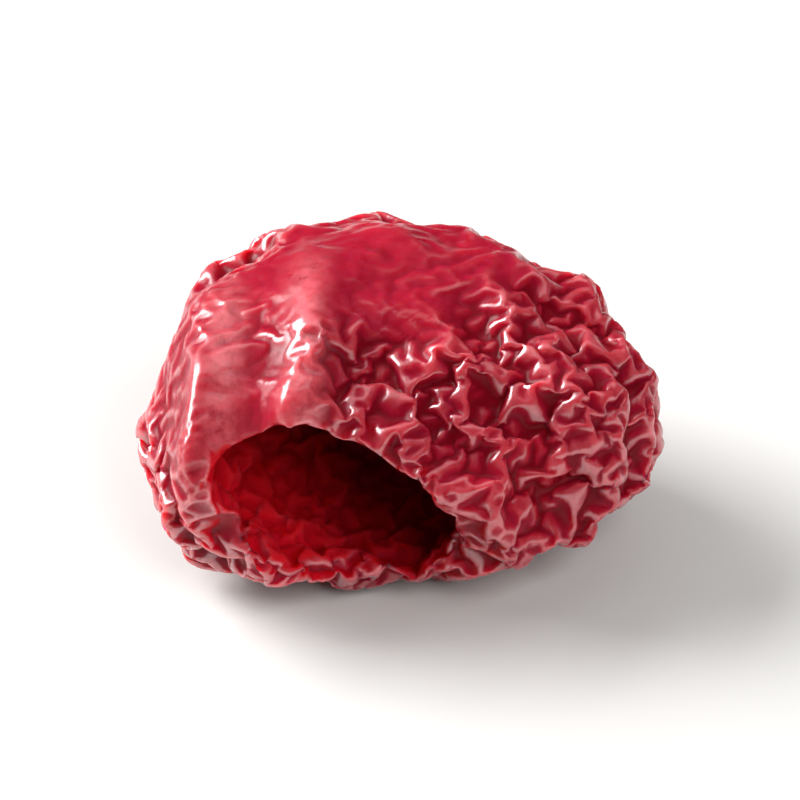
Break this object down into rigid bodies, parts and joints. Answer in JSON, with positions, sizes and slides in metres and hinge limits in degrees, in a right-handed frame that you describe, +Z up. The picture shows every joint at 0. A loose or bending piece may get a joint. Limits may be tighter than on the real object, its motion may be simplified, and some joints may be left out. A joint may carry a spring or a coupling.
{
  "type": "dried cranberry",
  "caption": "Sweetened dried cranberry, cut open: a plump wrinkled dark red berry with a hollow under a curled hood of skin.",
  "frame": {"origin": "on the table, under the middle of the berry's box", "axes": "+Z up; +X along the berry, to the right of someone looking into the hollow; -Y towards them, out of the hollow"},
  "size_m": [0.015, 0.0126, 0.0087],
  "materials": {
    "berry": "wrinkled, slightly translucent crimson skin with an oily satin sheen"
  },
  "bodies": {
    "root": {"cranberry": "berry"}
  },
  "joints": []
}
